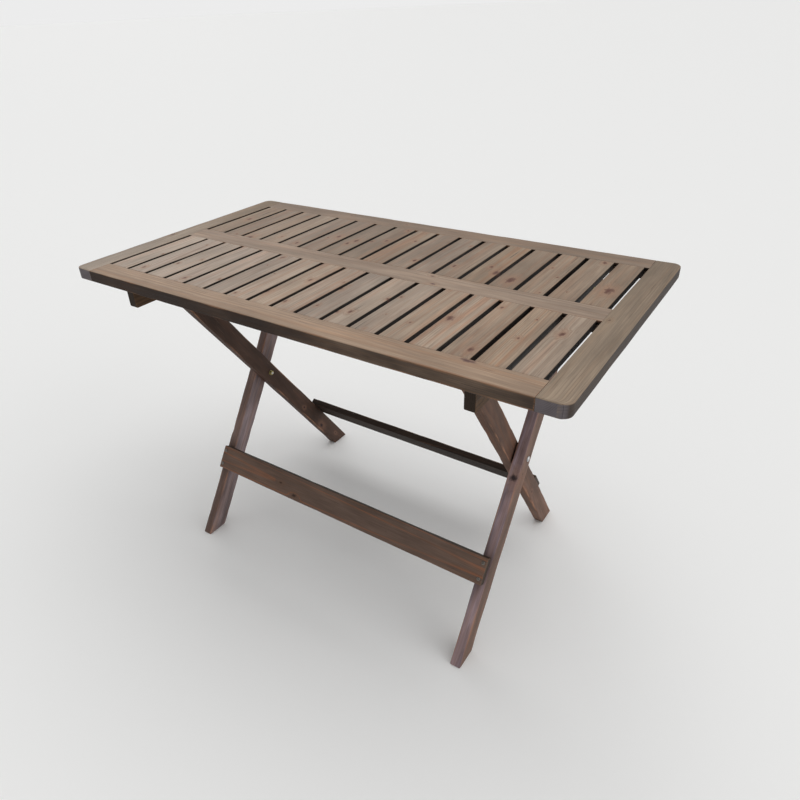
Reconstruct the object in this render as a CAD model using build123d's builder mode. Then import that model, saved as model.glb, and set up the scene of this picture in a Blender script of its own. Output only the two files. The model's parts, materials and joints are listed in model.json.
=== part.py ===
from build123d import *
from math import cos, radians, sin
import os

# Folding picnic table, millimetres, +Z up, floor at Z = 0.
# X runs along the length; the outer legs stand on the -Y side.

# ---- table top -------------------------------------------------------
TOP_LENGTH = 1100
TOP_WIDTH = 608
TOP_HEIGHT = 720
BOARD_T = 24
END_BOARD_W = 50
RAIL_W = 51
CENTRE_RAIL_W = 55
CORNER_R = 17
EDGE_R = 1.5
SLAT_COUNT = 17
SLAT_GAP = 9
SLAT_T = 13
SLAT_EDGE_R = 1
TONGUE_L = 8
TONGUE_T = 5
TONGUE_DROP = 4

# ---- bearers under the top -------------------------------------------
BEARER_T = 20
BEARER_DEPTH = 44
BEARER_LENGTH = 578
BEARER_INNER_X = 386
BEARER_CORNER_R = 5
SLOT_RUN = 30
SLOT_SLOPE = 24
SEAT_CLEARANCE = 0.35

# ---- legs --------------------------------------------------------------
LEG_T = 24
LEG_W = 45
LEG_EDGE_R = 2
OUTER_INNER_X = 360
INNER_INNER_X = 333
OUTER_TILT = 33.7
INNER_TILT = 35.3
PIVOT_Y = 12
PIVOT_Z = 368
HINGE_Z = 676
BAR_Z = 651
FOOT_OVERRUN = 60

# ---- stretchers and cross bar ------------------------------------------
STRETCHER_W = 58
STRETCHER_T = 17
STRETCHER_EDGE_R = 1.5
OUTER_STRETCHER_L = 758
OUTER_STRETCHER_ALONG = -245
INNER_STRETCHER_L = 694
INNER_STRETCHER_ALONG = 269
BAR_D = 20
BAR_LENGTH = 808

# ---- fasteners -----------------------------------------------------------
BOLT_D = 6
BOLT_TAIL = 1.5
RUNNING_CLEARANCE = 0.05
PIVOT_HEAD_D = 12
PIVOT_HEAD_H = 3.5
HINGE_HEAD_D = 14
HINGE_HEAD_H = 3
WASHER_D = 12
WASHER_T = 1.6
SPACER_D = 18
NUT_AF = 10
NUT_T = 5
HEAD_TAPER = 0.6
SCREW_D = 4
SCREW_L = 36
SCREW_HEAD_D = 8
SCREW_HEAD_H = 2.2
SCREW_EDGE = 12
SCREW_END = 8
DOWEL_D = 8
DOWEL_L = 40
DOWEL_PITCH = 22
DOWEL_DROP = 15
SEAT_DEPTH = 3
BEARER_SCREW_L = 55

# ---- derived -------------------------------------------------------------
UNDERSIDE_Z = TOP_HEIGHT - BOARD_T
SLAT_UNDER_Z = TOP_HEIGHT - SLAT_T
FIELD_LENGTH = TOP_LENGTH - 2 * END_BOARD_W
FIELD_X = FIELD_LENGTH / 2
SLAT_W = (FIELD_LENGTH - (SLAT_COUNT + 1) * SLAT_GAP) / SLAT_COUNT
RAIL_INNER_Y = TOP_WIDTH / 2 - RAIL_W
RAIL_MID_Y = TOP_WIDTH / 2 - RAIL_W / 2
CENTRE_EDGE_Y = CENTRE_RAIL_W / 2
TONGUE_TOP_Z = TOP_HEIGHT - TONGUE_DROP
TONGUE_LOW_Z = TONGUE_TOP_Z - TONGUE_T
DOWEL_Z = TOP_HEIGHT - DOWEL_DROP
BEARER_LOW_Z = UNDERSIDE_Z - BEARER_DEPTH
BEARER_X = BEARER_INNER_X + BEARER_T / 2
BEARER_OUTER_X = BEARER_INNER_X + BEARER_T
OUTER_OUTER_X = OUTER_INNER_X + LEG_T
OUTER_SCREW_X = OUTER_STRETCHER_L / 2 - SCREW_END
INNER_OUTER_X = INNER_INNER_X + LEG_T
INNER_SCREW_X = INNER_STRETCHER_L / 2 - SCREW_END
HINGE_UP = (HINGE_Z - PIVOT_Z) / cos(radians(OUTER_TILT))
HINGE_Y = PIVOT_Y + HINGE_UP * sin(radians(OUTER_TILT))
BAR_UP = (BAR_Z - PIVOT_Z) / cos(radians(INNER_TILT))
BAR_Y = PIVOT_Y - BAR_UP * sin(radians(INNER_TILT))
RUNNING_D = BOLT_D + 2 * RUNNING_CLEARANCE
FROM_BASE = (Align.CENTER, Align.CENTER, Align.MIN)
INTO_BASE = (Align.CENTER, Align.CENTER, Align.MAX)

os.makedirs("parts", exist_ok=True)


def save(builder, name):
    """Label a finished piece and write it to its own file."""
    builder.part.label = name
    export_step(builder.part, f"parts/{name}.step")


def save_pair(right, name):
    """Write a right-hand piece and its mirror image."""
    with BuildPart() as left:
        mirror(right.part, about=Plane.YZ)
    save(left, f"{name}_left")
    save(right, f"{name}_right")


# ---- end boards and rails --------------------------------------------------
def dowel_points():
    """Sketch positions of the dowels: two in each rail end."""
    rows = (-RAIL_MID_Y, 0, RAIL_MID_Y)
    return [(y + side * DOWEL_PITCH / 2, DOWEL_Z) for y in rows for side in (-1, 1)]


def make_end_boards():
    with BuildPart() as board:
        with BuildSketch(Plane.XY.offset(UNDERSIDE_Z)):
            with Locations((FIELD_X + END_BOARD_W / 2, 0)):
                Rectangle(END_BOARD_W, TOP_WIDTH)
        extrude(amount=BOARD_T)
        corners = board.edges().filter_by(Axis.Z).group_by(Axis.X)[-1]
        fillet(corners, radius=CORNER_R)
        rim = board.faces().sort_by(Axis.Z)[-1].edges()
        fillet(rim.sort_by(Axis.X)[1:], radius=EDGE_R)
        with BuildSketch(Plane.YZ.offset(FIELD_X)):
            with Locations(dowel_points()):
                Circle(DOWEL_D / 2)
        extrude(amount=DOWEL_L / 2, mode=Mode.SUBTRACT)
    save_pair(board, "end_board")


def cut_dowel_ends():
    """Blind dowel holes in both ends of a rail."""
    for side in (-1, 1):
        with BuildSketch(Plane.YZ.offset(side * FIELD_X)) as holes:
            with Locations(dowel_points()):
                Circle(DOWEL_D / 2)
        extrude(holes.sketch, amount=-side * DOWEL_L / 2, mode=Mode.SUBTRACT)


def cut_bearer_pilots(y):
    """Pilot holes for the bearer screws in a rail's underside."""
    depth = BEARER_SCREW_L - (BEARER_DEPTH - SEAT_DEPTH)
    with BuildSketch(Plane.XY.offset(UNDERSIDE_Z)) as pilots:
        with Locations((-BEARER_X, y), (BEARER_X, y)):
            Circle(SCREW_D / 2)
    extrude(pilots.sketch, amount=depth, mode=Mode.SUBTRACT)


def cut_groove(y_edge, inward):
    """Slat groove along a rail, cut in from one long edge."""
    with BuildSketch(Plane.XY.offset(TONGUE_LOW_Z)) as channel:
        with Locations((0, y_edge + inward * TONGUE_L / 2)):
            Rectangle(FIELD_LENGTH, TONGUE_L)
    extrude(channel.sketch, amount=TONGUE_T, mode=Mode.SUBTRACT)


def make_outer_rail(name, side):
    """Front rail for side -1, rear rail for side 1."""
    with BuildPart() as rail:
        with BuildSketch(Plane.XY.offset(UNDERSIDE_Z)):
            with Locations((0, side * RAIL_MID_Y)):
                Rectangle(FIELD_LENGTH, RAIL_W)
        extrude(amount=BOARD_T)
        long_edges = rail.edges().filter_by(Axis.X)
        outer_edges = long_edges.filter_by(lambda edge: side * edge.center().Y > RAIL_MID_Y)
        fillet(outer_edges, radius=EDGE_R)
        cut_groove(side * RAIL_INNER_Y, side)
        cut_dowel_ends()
        cut_bearer_pilots(side * RAIL_MID_Y)
    save(rail, name)


def make_centre_rail():
    with BuildPart() as rail:
        with BuildSketch(Plane.XY.offset(UNDERSIDE_Z)):
            Rectangle(FIELD_LENGTH, CENTRE_RAIL_W)
        extrude(amount=BOARD_T)
        cut_groove(CENTRE_EDGE_Y, -1)
        cut_groove(-CENTRE_EDGE_Y, 1)
        cut_dowel_ends()
        cut_bearer_pilots(0)
    save(rail, "centre_rail")


def make_rail_dowels():
    with BuildPart() as dowels:
        for side in (-1, 1):
            with BuildSketch(Plane.YZ.offset(side * FIELD_X)):
                with Locations(dowel_points()):
                    Circle(DOWEL_D / 2)
            extrude(amount=DOWEL_L / 2, both=True)
    save(dowels, "rail_dowels")


# ---- slats ---------------------------------------------------------------------
def make_slat(name, x_left, y_low, y_high):
    """One slat with a tongue at each end, its top flush with the rails."""
    with BuildPart() as slat:
        with BuildSketch(Plane.YZ.offset(x_left)):
            with BuildLine():
                Polyline(
                    (y_low, SLAT_UNDER_Z),
                    (y_high, SLAT_UNDER_Z),
                    (y_high, TONGUE_LOW_Z),
                    (y_high + TONGUE_L, TONGUE_LOW_Z),
                    (y_high + TONGUE_L, TONGUE_TOP_Z),
                    (y_high, TONGUE_TOP_Z),
                    (y_high, TOP_HEIGHT),
                    (y_low, TOP_HEIGHT),
                    (y_low, TONGUE_TOP_Z),
                    (y_low - TONGUE_L, TONGUE_TOP_Z),
                    (y_low - TONGUE_L, TONGUE_LOW_Z),
                    (y_low, TONGUE_LOW_Z),
                    close=True,
                )
            make_face()
        extrude(amount=SLAT_W)
        long_edges = slat.edges().filter_by(Axis.Y).group_by(Axis.Z)[-1]
        fillet(long_edges, radius=SLAT_EDGE_R)
    save(slat, name)


def make_slats():
    pitch = SLAT_W + SLAT_GAP
    for index in range(SLAT_COUNT):
        x_left = -FIELD_X + SLAT_GAP + index * pitch
        number = f"{index + 1:02d}"
        make_slat(f"slat_front_{number}", x_left, -RAIL_INNER_Y, -CENTRE_EDGE_Y)
        make_slat(f"slat_rear_{number}", x_left, CENTRE_EDGE_Y, RAIL_INNER_Y)


# ---- bearers ---------------------------------------------------------------------
def cut_bar_slot():
    """Sloping seat, open at the bearer's lower edge, that takes the cross bar."""
    slope = radians(SLOT_SLOPE)
    middle = (BAR_Y + SLOT_RUN / 2 * cos(slope), BAR_Z - SLOT_RUN / 2 * sin(slope))
    with BuildSketch(Plane.YZ.offset(BEARER_INNER_X)) as seat:
        with Locations(middle):
            SlotCenterToCenter(SLOT_RUN, BAR_D + 2 * SEAT_CLEARANCE, rotation=-SLOT_SLOPE)
    extrude(seat.sketch, amount=BEARER_T, mode=Mode.SUBTRACT)


def bearer_screw_points(x_values):
    """Where the screws go up through the bearers into the three rails."""
    return [(x, y) for x in x_values for y in (-RAIL_MID_Y, 0, RAIL_MID_Y)]


def make_bearers():
    with BuildPart() as bearer:
        with BuildSketch(Plane.YZ.offset(BEARER_INNER_X)):
            with Locations((0, (BEARER_LOW_Z + UNDERSIDE_Z) / 2)):
                Rectangle(BEARER_LENGTH, BEARER_DEPTH)
        extrude(amount=BEARER_T)
        low_corners = bearer.edges().filter_by(Axis.X).group_by(Axis.Z)[0]
        fillet(low_corners, radius=BEARER_CORNER_R)
        cut_bar_slot()
        with BuildSketch(Plane.YZ.offset(BEARER_INNER_X)):
            with Locations((HINGE_Y, HINGE_Z)):
                Circle(BOLT_D / 2)
        extrude(amount=BEARER_T, mode=Mode.SUBTRACT)
        with Locations(Plane.XY.offset(BEARER_LOW_Z)):
            with Locations(bearer_screw_points((BEARER_X,))):
                CounterBoreHole(SCREW_D / 2, SCREW_HEAD_D / 2, SEAT_DEPTH)
    save_pair(bearer, "bearer")


def make_bearer_screws():
    with BuildPart(Plane.XY.offset(BEARER_LOW_Z + SEAT_DEPTH)) as screws:
        with Locations(bearer_screw_points((-BEARER_X, BEARER_X))):
            Cylinder(SCREW_HEAD_D / 2, SEAT_DEPTH, align=INTO_BASE)
            Cylinder(SCREW_D / 2, BEARER_SCREW_L, align=FROM_BASE)
    save(screws, "bearer_screws")


# ---- legs ------------------------------------------------------------------------
def leg_plane(x, lean):
    """Plane at the pivot: local X runs up the leg, local Y to its front face."""
    tilt = radians(lean)
    return Plane(origin=(x, PIVOT_Y, PIVOT_Z), x_dir=(0, sin(tilt), cos(tilt)), z_dir=(1, 0, 0))


def face_plane(lean, side):
    """Plane on a leg's front (1) or rear (-1) face; local Y runs up or down the leg."""
    leg = leg_plane(0, lean)
    normal = leg.y_dir * side
    return Plane(origin=leg.origin + normal * (LEG_W / 2), x_dir=(1, 0, 0), z_dir=normal)


def screw_points(screw_x, along):
    """Face-plane positions of the two screws in each end of a stretcher."""
    offset = STRETCHER_W / 2 - SCREW_EDGE
    return [(x, along + shift) for x in (-screw_x, screw_x) for shift in (-offset, offset)]


def make_leg_blank(plane, up):
    """Leg with its foot cut level with the floor and a round upper end."""
    down = up + FOOT_OVERRUN + LEG_W
    with BuildSketch(plane) as outline:
        with Locations(((up - down) / 2, 0)):
            Rectangle(up + down, LEG_W)
        with Locations((up, 0)):
            Circle(LEG_W / 2)
    extrude(outline.sketch, amount=LEG_T)


def ease_leg(part, plane):
    """Cut the foot level and round the leg's long edges."""
    split(bisect_by=Plane.XY, keep=Keep.TOP)
    long_edges = part.edges().filter_by(Axis((0, 0, 0), plane.x_dir))
    fillet(long_edges, radius=LEG_EDGE_R)


def cut_cross_hole(plane, up, diameter, depth):
    """Hole across a leg at a distance up its axis from the pivot."""
    with BuildSketch(plane) as hole:
        with Locations((up, 0)):
            Circle(diameter / 2)
    extrude(hole.sketch, amount=depth, mode=Mode.SUBTRACT)


def cut_screw_pilots(plane, screw_x, along):
    """Pilot holes for the stretcher screws in a leg's face."""
    with BuildSketch(plane) as pilots:
        with Locations(screw_points(screw_x, along)):
            Circle(SCREW_D / 2)
    extrude(pilots.sketch, amount=STRETCHER_T - SCREW_L, mode=Mode.SUBTRACT)


def make_outer_legs():
    plane = leg_plane(OUTER_INNER_X, OUTER_TILT)
    with BuildPart() as leg:
        make_leg_blank(plane, HINGE_UP)
        ease_leg(leg, plane)
        cut_cross_hole(plane, 0, BOLT_D, LEG_T)
        cut_cross_hole(plane, HINGE_UP, RUNNING_D, LEG_T)
        cut_cross_hole(plane, HINGE_UP, HINGE_HEAD_D + 2 * RUNNING_CLEARANCE, HINGE_HEAD_H)
        cut_screw_pilots(face_plane(OUTER_TILT, 1), OUTER_SCREW_X, OUTER_STRETCHER_ALONG)
    save_pair(leg, "outer_leg")


def make_inner_legs():
    plane = leg_plane(INNER_INNER_X, -INNER_TILT)
    with BuildPart() as leg:
        make_leg_blank(plane, BAR_UP)
        ease_leg(leg, plane)
        cut_cross_hole(plane, 0, RUNNING_D, LEG_T)
        cut_cross_hole(plane, BAR_UP, BAR_D, LEG_T)
        cut_screw_pilots(face_plane(-INNER_TILT, -1), INNER_SCREW_X, INNER_STRETCHER_ALONG)
    save_pair(leg, "inner_leg")


# ---- stretchers and cross bar --------------------------------------------------------
def make_stretcher(name, plane, length, screw_x, along):
    """Flat board screwed across a pair of legs."""
    with BuildPart() as board:
        with BuildSketch(plane):
            with Locations((0, along)):
                Rectangle(length, STRETCHER_W)
        extrude(amount=STRETCHER_T)
        with BuildSketch(plane):
            with Locations(screw_points(screw_x, along)):
                Circle(SCREW_D / 2)
        extrude(amount=STRETCHER_T, mode=Mode.SUBTRACT)
        outer_face = board.faces().sort_by(Axis(plane.origin, plane.z_dir))[-1]
        fillet(outer_face.edges().filter_by(Axis.X), radius=STRETCHER_EDGE_R)
    save(board, name)


def make_stretcher_screws(name, plane, screw_x, along):
    """Two dome-headed screws in each end of a stretcher."""
    with BuildPart(plane.offset(STRETCHER_T)) as screws:
        with Locations(screw_points(screw_x, along)):
            Cone(SCREW_HEAD_D / 2, HEAD_TAPER * SCREW_HEAD_D / 2, SCREW_HEAD_H, align=FROM_BASE)
            Cylinder(SCREW_D / 2, SCREW_L, align=INTO_BASE)
    save(screws, name)


def make_stretchers():
    outer = face_plane(OUTER_TILT, 1)
    inner = face_plane(-INNER_TILT, -1)
    make_stretcher(
        "outer_stretcher", outer, OUTER_STRETCHER_L, OUTER_SCREW_X, OUTER_STRETCHER_ALONG
    )
    make_stretcher(
        "inner_stretcher", inner, INNER_STRETCHER_L, INNER_SCREW_X, INNER_STRETCHER_ALONG
    )
    make_stretcher_screws("outer_stretcher_screws", outer, OUTER_SCREW_X, OUTER_STRETCHER_ALONG)
    make_stretcher_screws("inner_stretcher_screws", inner, INNER_SCREW_X, INNER_STRETCHER_ALONG)


def make_cross_bar():
    with BuildPart() as bar:
        with BuildSketch(Plane.YZ):
            with Locations((BAR_Y, BAR_Z)):
                Circle(BAR_D / 2)
        extrude(amount=BAR_LENGTH / 2, both=True)
        chamfer(bar.faces().filter_by(Axis.X).edges(), length=EDGE_R)
    save(bar, "inner_cross_bar")


# ---- bolts ---------------------------------------------------------------------------
def across(x, y, z):
    """Plane facing +X at a bolt's axis."""
    return Plane(origin=(x, y, z), x_dir=(0, 1, 0), z_dir=(1, 0, 0))


def make_rings(rings):
    """Washers as (plane, outer diameter, thickness), on both sides of the table."""
    for plane, diameter, thickness in rings:
        with BuildSketch(plane) as ring:
            Circle(diameter / 2)
            Circle(BOLT_D / 2, mode=Mode.SUBTRACT)
        extrude(ring.sketch, amount=thickness)
    mirror(about=Plane.YZ)


def make_nuts(name, plane):
    """One hexagon nut on each side of the table."""
    with BuildPart() as nuts:
        with BuildSketch(plane):
            RegularPolygon(NUT_AF / 2, 6, major_radius=False)
            Circle(BOLT_D / 2, mode=Mode.SUBTRACT)
        extrude(amount=NUT_T)
        mirror(about=Plane.YZ)
    save(nuts, name)


def make_pivot_bolts():
    nut_x = INNER_INNER_X - WASHER_T - NUT_T
    length = OUTER_OUTER_X - nut_x + BOLT_TAIL
    with BuildPart() as bolts:
        with Locations(across(OUTER_OUTER_X, PIVOT_Y, PIVOT_Z)):
            Cone(PIVOT_HEAD_D / 2, HEAD_TAPER * PIVOT_HEAD_D / 2, PIVOT_HEAD_H, align=FROM_BASE)
            Cylinder(BOLT_D / 2, length, align=INTO_BASE)
        mirror(about=Plane.YZ)
    save(bolts, "pivot_bolts")
    make_nuts("pivot_nuts", across(nut_x, PIVOT_Y, PIVOT_Z))
    with BuildPart() as washers:
        gap = OUTER_INNER_X - INNER_OUTER_X
        spacer = (across(INNER_OUTER_X, PIVOT_Y, PIVOT_Z), SPACER_D, gap)
        washer = (across(nut_x + NUT_T, PIVOT_Y, PIVOT_Z), WASHER_D, WASHER_T)
        make_rings((spacer, washer))
    save(washers, "pivot_washers")


def make_hinge_bolts():
    nut_x = BEARER_OUTER_X + WASHER_T
    length = nut_x + NUT_T + BOLT_TAIL - OUTER_INNER_X
    with BuildPart() as bolts:
        with Locations(across(OUTER_INNER_X, HINGE_Y, HINGE_Z)):
            Cylinder(HINGE_HEAD_D / 2, HINGE_HEAD_H, align=FROM_BASE)
            Cylinder(BOLT_D / 2, length, align=FROM_BASE)
        mirror(about=Plane.YZ)
    save(bolts, "hinge_bolts")
    make_nuts("hinge_nuts", across(nut_x, HINGE_Y, HINGE_Z))
    with BuildPart() as washers:
        gap = BEARER_INNER_X - OUTER_OUTER_X
        spacer = (across(OUTER_OUTER_X, HINGE_Y, HINGE_Z), SPACER_D, gap)
        washer = (across(BEARER_OUTER_X, HINGE_Y, HINGE_Z), WASHER_D, WASHER_T)
        make_rings((spacer, washer))
    save(washers, "hinge_washers")


make_end_boards()
make_outer_rail("front_rail", -1)
make_outer_rail("rear_rail", 1)
make_centre_rail()
make_rail_dowels()
make_slats()
make_bearers()
make_bearer_screws()
make_outer_legs()
make_inner_legs()
make_stretchers()
make_cross_bar()
make_pivot_bolts()
make_hinge_bolts()
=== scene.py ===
"""Folding picnic table: worn, stained softwood boards and zinc fasteners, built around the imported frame."""
import json

import bpy
import numpy as np
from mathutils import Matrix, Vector


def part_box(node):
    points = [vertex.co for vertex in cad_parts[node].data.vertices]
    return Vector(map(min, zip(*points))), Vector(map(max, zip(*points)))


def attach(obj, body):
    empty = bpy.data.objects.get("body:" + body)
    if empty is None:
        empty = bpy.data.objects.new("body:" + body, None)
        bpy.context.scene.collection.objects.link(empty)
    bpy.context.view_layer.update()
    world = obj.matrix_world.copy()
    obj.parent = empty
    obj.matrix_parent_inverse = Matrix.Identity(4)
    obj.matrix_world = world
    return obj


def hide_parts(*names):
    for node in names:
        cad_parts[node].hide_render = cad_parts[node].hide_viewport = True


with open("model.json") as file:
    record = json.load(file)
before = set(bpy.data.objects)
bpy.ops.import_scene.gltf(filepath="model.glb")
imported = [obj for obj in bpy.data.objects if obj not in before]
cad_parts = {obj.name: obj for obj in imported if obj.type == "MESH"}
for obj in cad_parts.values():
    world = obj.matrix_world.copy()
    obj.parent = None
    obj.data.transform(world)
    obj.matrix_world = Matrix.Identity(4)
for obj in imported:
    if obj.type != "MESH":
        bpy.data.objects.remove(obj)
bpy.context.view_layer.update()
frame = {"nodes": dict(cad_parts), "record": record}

MM = 0.001
X_AXIS = np.array((1.0, 0.0, 0.0))
Y_AXIS = np.array((0.0, 1.0, 0.0))
Z_AXIS = np.array((0.0, 0.0, 1.0))
CHANCE = np.random.default_rng(31)

# ---- sizes that the boxes don't give ----
LEG_W = 45 * MM
LEG_EASE = 2.2 * MM
FOOT_BLEND = 60 * MM
STRETCHER_W = 58 * MM
STRETCHER_T = 17 * MM
TONGUE_L = 8 * MM
GROOVE_TOP = 4 * MM
GROOVE_LOW = 9 * MM
CORNER_R = 17 * MM
BEARER_CORNER_R = 5 * MM
SEAT_SLOPE = np.radians(24)
SEAT_LEAN = np.radians(19)
SEAT_R = 10.35 * MM
SCREW_INSET = 8 * MM
SCREW_SPREAD = 17 * MM
BOLT_R = 3 * MM
WASHER_T = 1.6 * MM
NUT_T = 5 * MM


# ---- places read from the frame ----
def low(node):
    return np.array(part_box(node)[0])


def high(node):
    return np.array(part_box(node)[1])


def middle(node):
    return (low(node) + high(node)) / 2


def joint_place(name):
    joints = frame["record"]["behaviour"]["joints"]
    return np.array(next(joint["pos_m"] for joint in joints if joint["name"] == name))


HINGE = joint_place("outer_frame_hinge")
PIVOT = joint_place("scissor_pivot")
BAR = middle("inner_cross_bar")


def leg_axes(top_point):
    """Unit vectors of a leg: up its length from the pivot to top_point, and square to that, to its front."""
    up = (top_point - PIVOT) * (Y_AXIS + Z_AXIS)
    up = up / np.linalg.norm(up)
    return up, np.cross(X_AXIS, up)


OUTER_UP, OUTER_FRONT = leg_axes(HINGE)
INNER_UP, INNER_FRONT = leg_axes(BAR)


# ---- sections ----
ARC_STEPS = 4
BIG_R = 3 * MM
BIG_ARC_STEPS = 12
STEP = 7 * MM
SUPPORTS = np.array((0.6, 2.2, 5.5)) * MM
SUPPORT_SHARE = 0.45
ARRIS_FADE = 2.6 * MM
END_RING = 0.7
END_EDGE = 1.2


def flat_points(length):
    """Places along a flat between two arcs: close to both ends, then evenly spaced between them."""
    near = SUPPORTS[SUPPORTS < length * SUPPORT_SHARE]
    if not len(near):
        return np.array(()), near
    inner = length - 2 * near[-1]
    count = int(inner // STEP)
    even = near[-1] + inner * np.arange(1, count + 1) / (count + 1)
    places = np.concatenate((near, even, length - near[::-1]))
    return places, np.minimum(places, length - places)


class Section:
    """Closed outline with an arc at every corner, which can be drawn in evenly on itself.

    corners is an anticlockwise list of (across, thick, radius). Each arc runs through the directions from one
    edge's outward normal to the next one's, about a centre set in from the corner by its radius. Drawn in by
    a distance, an arc's points move along their normals until its radius is used up, and from there along the
    corner's mitre. Points on a flat keep their share of the way from one arc to the next.
    """

    def __init__(self, corners):
        spots = np.array([corner[:2] for corner in corners])
        radii = np.array([corner[2] for corner in corners])
        ahead = np.roll(spots, -1, 0) - spots
        lengths = np.linalg.norm(ahead, axis=1)
        ahead = ahead / lengths[:, None]
        outward = np.stack((ahead[:, 1], -ahead[:, 0]), 1)
        behind = np.roll(ahead, 1, 0)
        turns = np.arctan2(np.cross(behind, ahead), (behind * ahead).sum(1))
        setbacks = radii * np.tan(abs(turns) / 2)
        arcs, normals, worn, limits, mitres, links = [], [], [], [], [], []
        count = 0
        for here, turn in enumerate(turns):
            before, after = here - 1, (here + 1) % len(corners)
            bulge = np.sign(turn) * radii[here]
            first = np.arctan2(outward[before, 1], outward[before, 0])
            centre = spots[here] - setbacks[here] * ahead[before] - bulge * outward[before]
            steps = ARC_STEPS if radii[here] < BIG_R else BIG_ARC_STEPS
            angles = first + turn * np.linspace(0, 1, steps + 1)
            arc = np.stack((np.cos(angles), np.sin(angles)), 1)
            mitre = (outward[before] + outward[here]) / (1 + np.cos(turn))
            run = lengths[here] - setbacks[here] - setbacks[after]
            places, away = flat_points(run)
            blank = np.zeros((len(places), 2))
            arcs += [centre + bulge * arc, blank]
            mitres += [np.tile(mitre, (steps + 1, 1)), blank]
            limits += [np.full(steps + 1, radii[here] if turn > 0 else np.inf), np.zeros(len(places))]
            normals += [arc, np.tile(outward[here], (len(places), 1))]
            worn += [np.full(steps + 1, float(turn > 0)), np.exp(-away / ARRIS_FADE)]
            itself = np.arange(count, count + steps + 1)
            links.append(np.stack((itself, itself, np.zeros(steps + 1)), 1))
            count += steps + 1 + len(places)
            start, end = np.full(len(places), itself[-1]), np.full(len(places), count)
            links.append(np.stack((start, end, places / run), 1))
        self.arcs, self.normals, self.worn, self.limits, self.mitres, links = (
            np.concatenate(part) for part in (arcs, normals, worn, limits, mitres, links)
        )
        self.first = links[:, 0].astype(int)
        self.second = links[:, 1].astype(int) % count
        self.share = links[:, 2:]

    def drawn_in(self, inset):
        """Outline points for each inset: an array of insets by points by (across, thick)."""
        inset = inset[:, None]
        round_part = np.minimum(inset, self.limits)[..., None] * self.normals
        sharp_part = np.maximum(inset - self.limits, 0)[..., None] * self.mitres
        moved = self.arcs - round_part - sharp_part
        return moved[:, self.first] * (1 - self.share) + moved[:, self.second] * self.share


def bar_section(width, thick, ease):
    """Section of a plain board: a rectangle with four eased corners."""
    b, c = width / 2, thick / 2
    return Section([(-b, -c, ease), (b, -c, ease), (b, c, ease), (-b, c, ease)])


def stations(start, end, ease, extra=()):
    """Places along a board and how far the section is drawn in there.

    Each end turns over through a quarter circle of radius ease: the section draws in by ease times one less
    the cosine while the place moves out by ease times the sine. One more ring, END_RING eases further in on
    the end face, keeps its edge crisp.
    """
    turn = np.linspace(np.pi / 2, 0, ARC_STEPS + 1)
    places = start + ease + flat_points(end - start - 2 * ease)[0]
    places = np.unique(np.concatenate((places, np.array(extra, float))))
    head = start + ease * (1 - np.sin(turn))
    ring = END_RING * ease
    along = np.concatenate(((start,), head, places, (start + end - head)[::-1], (end,)))
    bend = ease * (1 - np.cos(turn))
    inset = np.concatenate(((ease + ring,), bend, np.zeros(len(places)), bend[::-1], (ease + ring,)))
    return along, inset


# ---- surfaces ----
VECTOR_MARKS = ("grain", "knot", "board")
PITCH_SPREAD = (0.5, 2.0)
ACROSS_BIAS = np.array((1.0, 3.0, 3.0))
KNOCK_WIDTHS = (2.5 * MM, 7 * MM)
SHALLOWEST = 0.3


def ripple(places, waves, reach):
    """Gentle unevenness: the mean of several sine waves with seeded directions, lengths and phases."""
    pitch = reach * CHANCE.uniform(*PITCH_SPREAD, (waves, 1))
    direction = CHANCE.normal(size=(waves, 3)) * ACROSS_BIAS / pitch
    phase = CHANCE.uniform(0, 2 * np.pi, waves)
    return np.sin(places @ direction.T + phase).mean(-1)


def knocks(places, worn, along, count, depth):
    """Small dents on the arrises: bell curves about seeded points, as deep as the arris is close."""
    middles = CHANCE.uniform(along.min(), along.max(), count)
    sides = np.sign(CHANCE.normal(size=(count, 2)))
    widths = CHANCE.uniform(*KNOCK_WIDTHS, count)
    depths = CHANCE.uniform(SHALLOWEST, 1.0, count) * depth
    off = (places[..., 0, None] - middles) / widths
    near = np.exp(-off * off)
    same_side = (places[..., 1, None] * sides[:, 0] > 0) & (places[..., 2, None] * sides[:, 1] > 0)
    return (near * depths * same_side).sum(-1) * worn


def shell(points, ring_shaped=False):
    """Vertices and outward faces of a grid of points, rings by places round each ring.

    The ends are closed by one face each, or, on a ring-shaped piece, the last ring joins the first.
    """
    rings, around = points.shape[:2]
    ring, spot = np.meshgrid(np.arange(rings - 1 + ring_shaped), np.arange(around), indexing="ij")
    next_ring, next_spot = (ring + 1) % rings * around, (spot + 1) % around
    here = ring * around
    quads = np.stack((here + spot, here + next_spot, next_ring + next_spot, next_ring + spot), -1)
    faces = quads.reshape(-1, 4).tolist()
    if not ring_shaped:
        faces.append(list(range(around))[::-1])
        faces.append([(rings - 1) * around + place for place in range(around)])
    return points.reshape(-1, 3), faces


def make_piece(name, shells, material, marks=None):
    """One object from closed shells: their vertices, faces and named marks, with smooth faces."""
    offset, vertices, faces = 0, [], []
    for points, shell_faces in shells:
        vertices.append(points)
        faces += [[index + offset for index in face] for face in shell_faces]
        offset += len(points)
    mesh = bpy.data.meshes.new(name)
    mesh.from_pydata(np.concatenate(vertices).tolist(), [], faces)
    mesh.shade_smooth()
    for mark, values in (marks or {}).items():
        is_vector = mark in VECTOR_MARKS
        kind, field = ("FLOAT_VECTOR", "vector") if is_vector else ("FLOAT", "value")
        layer = mesh.attributes.new(mark, kind, "POINT")
        layer.data.foreach_set(field, values.astype(np.float32).ravel())
    mesh.materials.append(material)
    piece = bpy.data.objects.new(name, mesh)
    bpy.context.scene.collection.objects.link(piece)
    return piece


def fit(piece, body, slot, *nodes):
    """Ride the piece on its body in place of its nodes."""
    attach(piece, body)
    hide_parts(*nodes)


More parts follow.
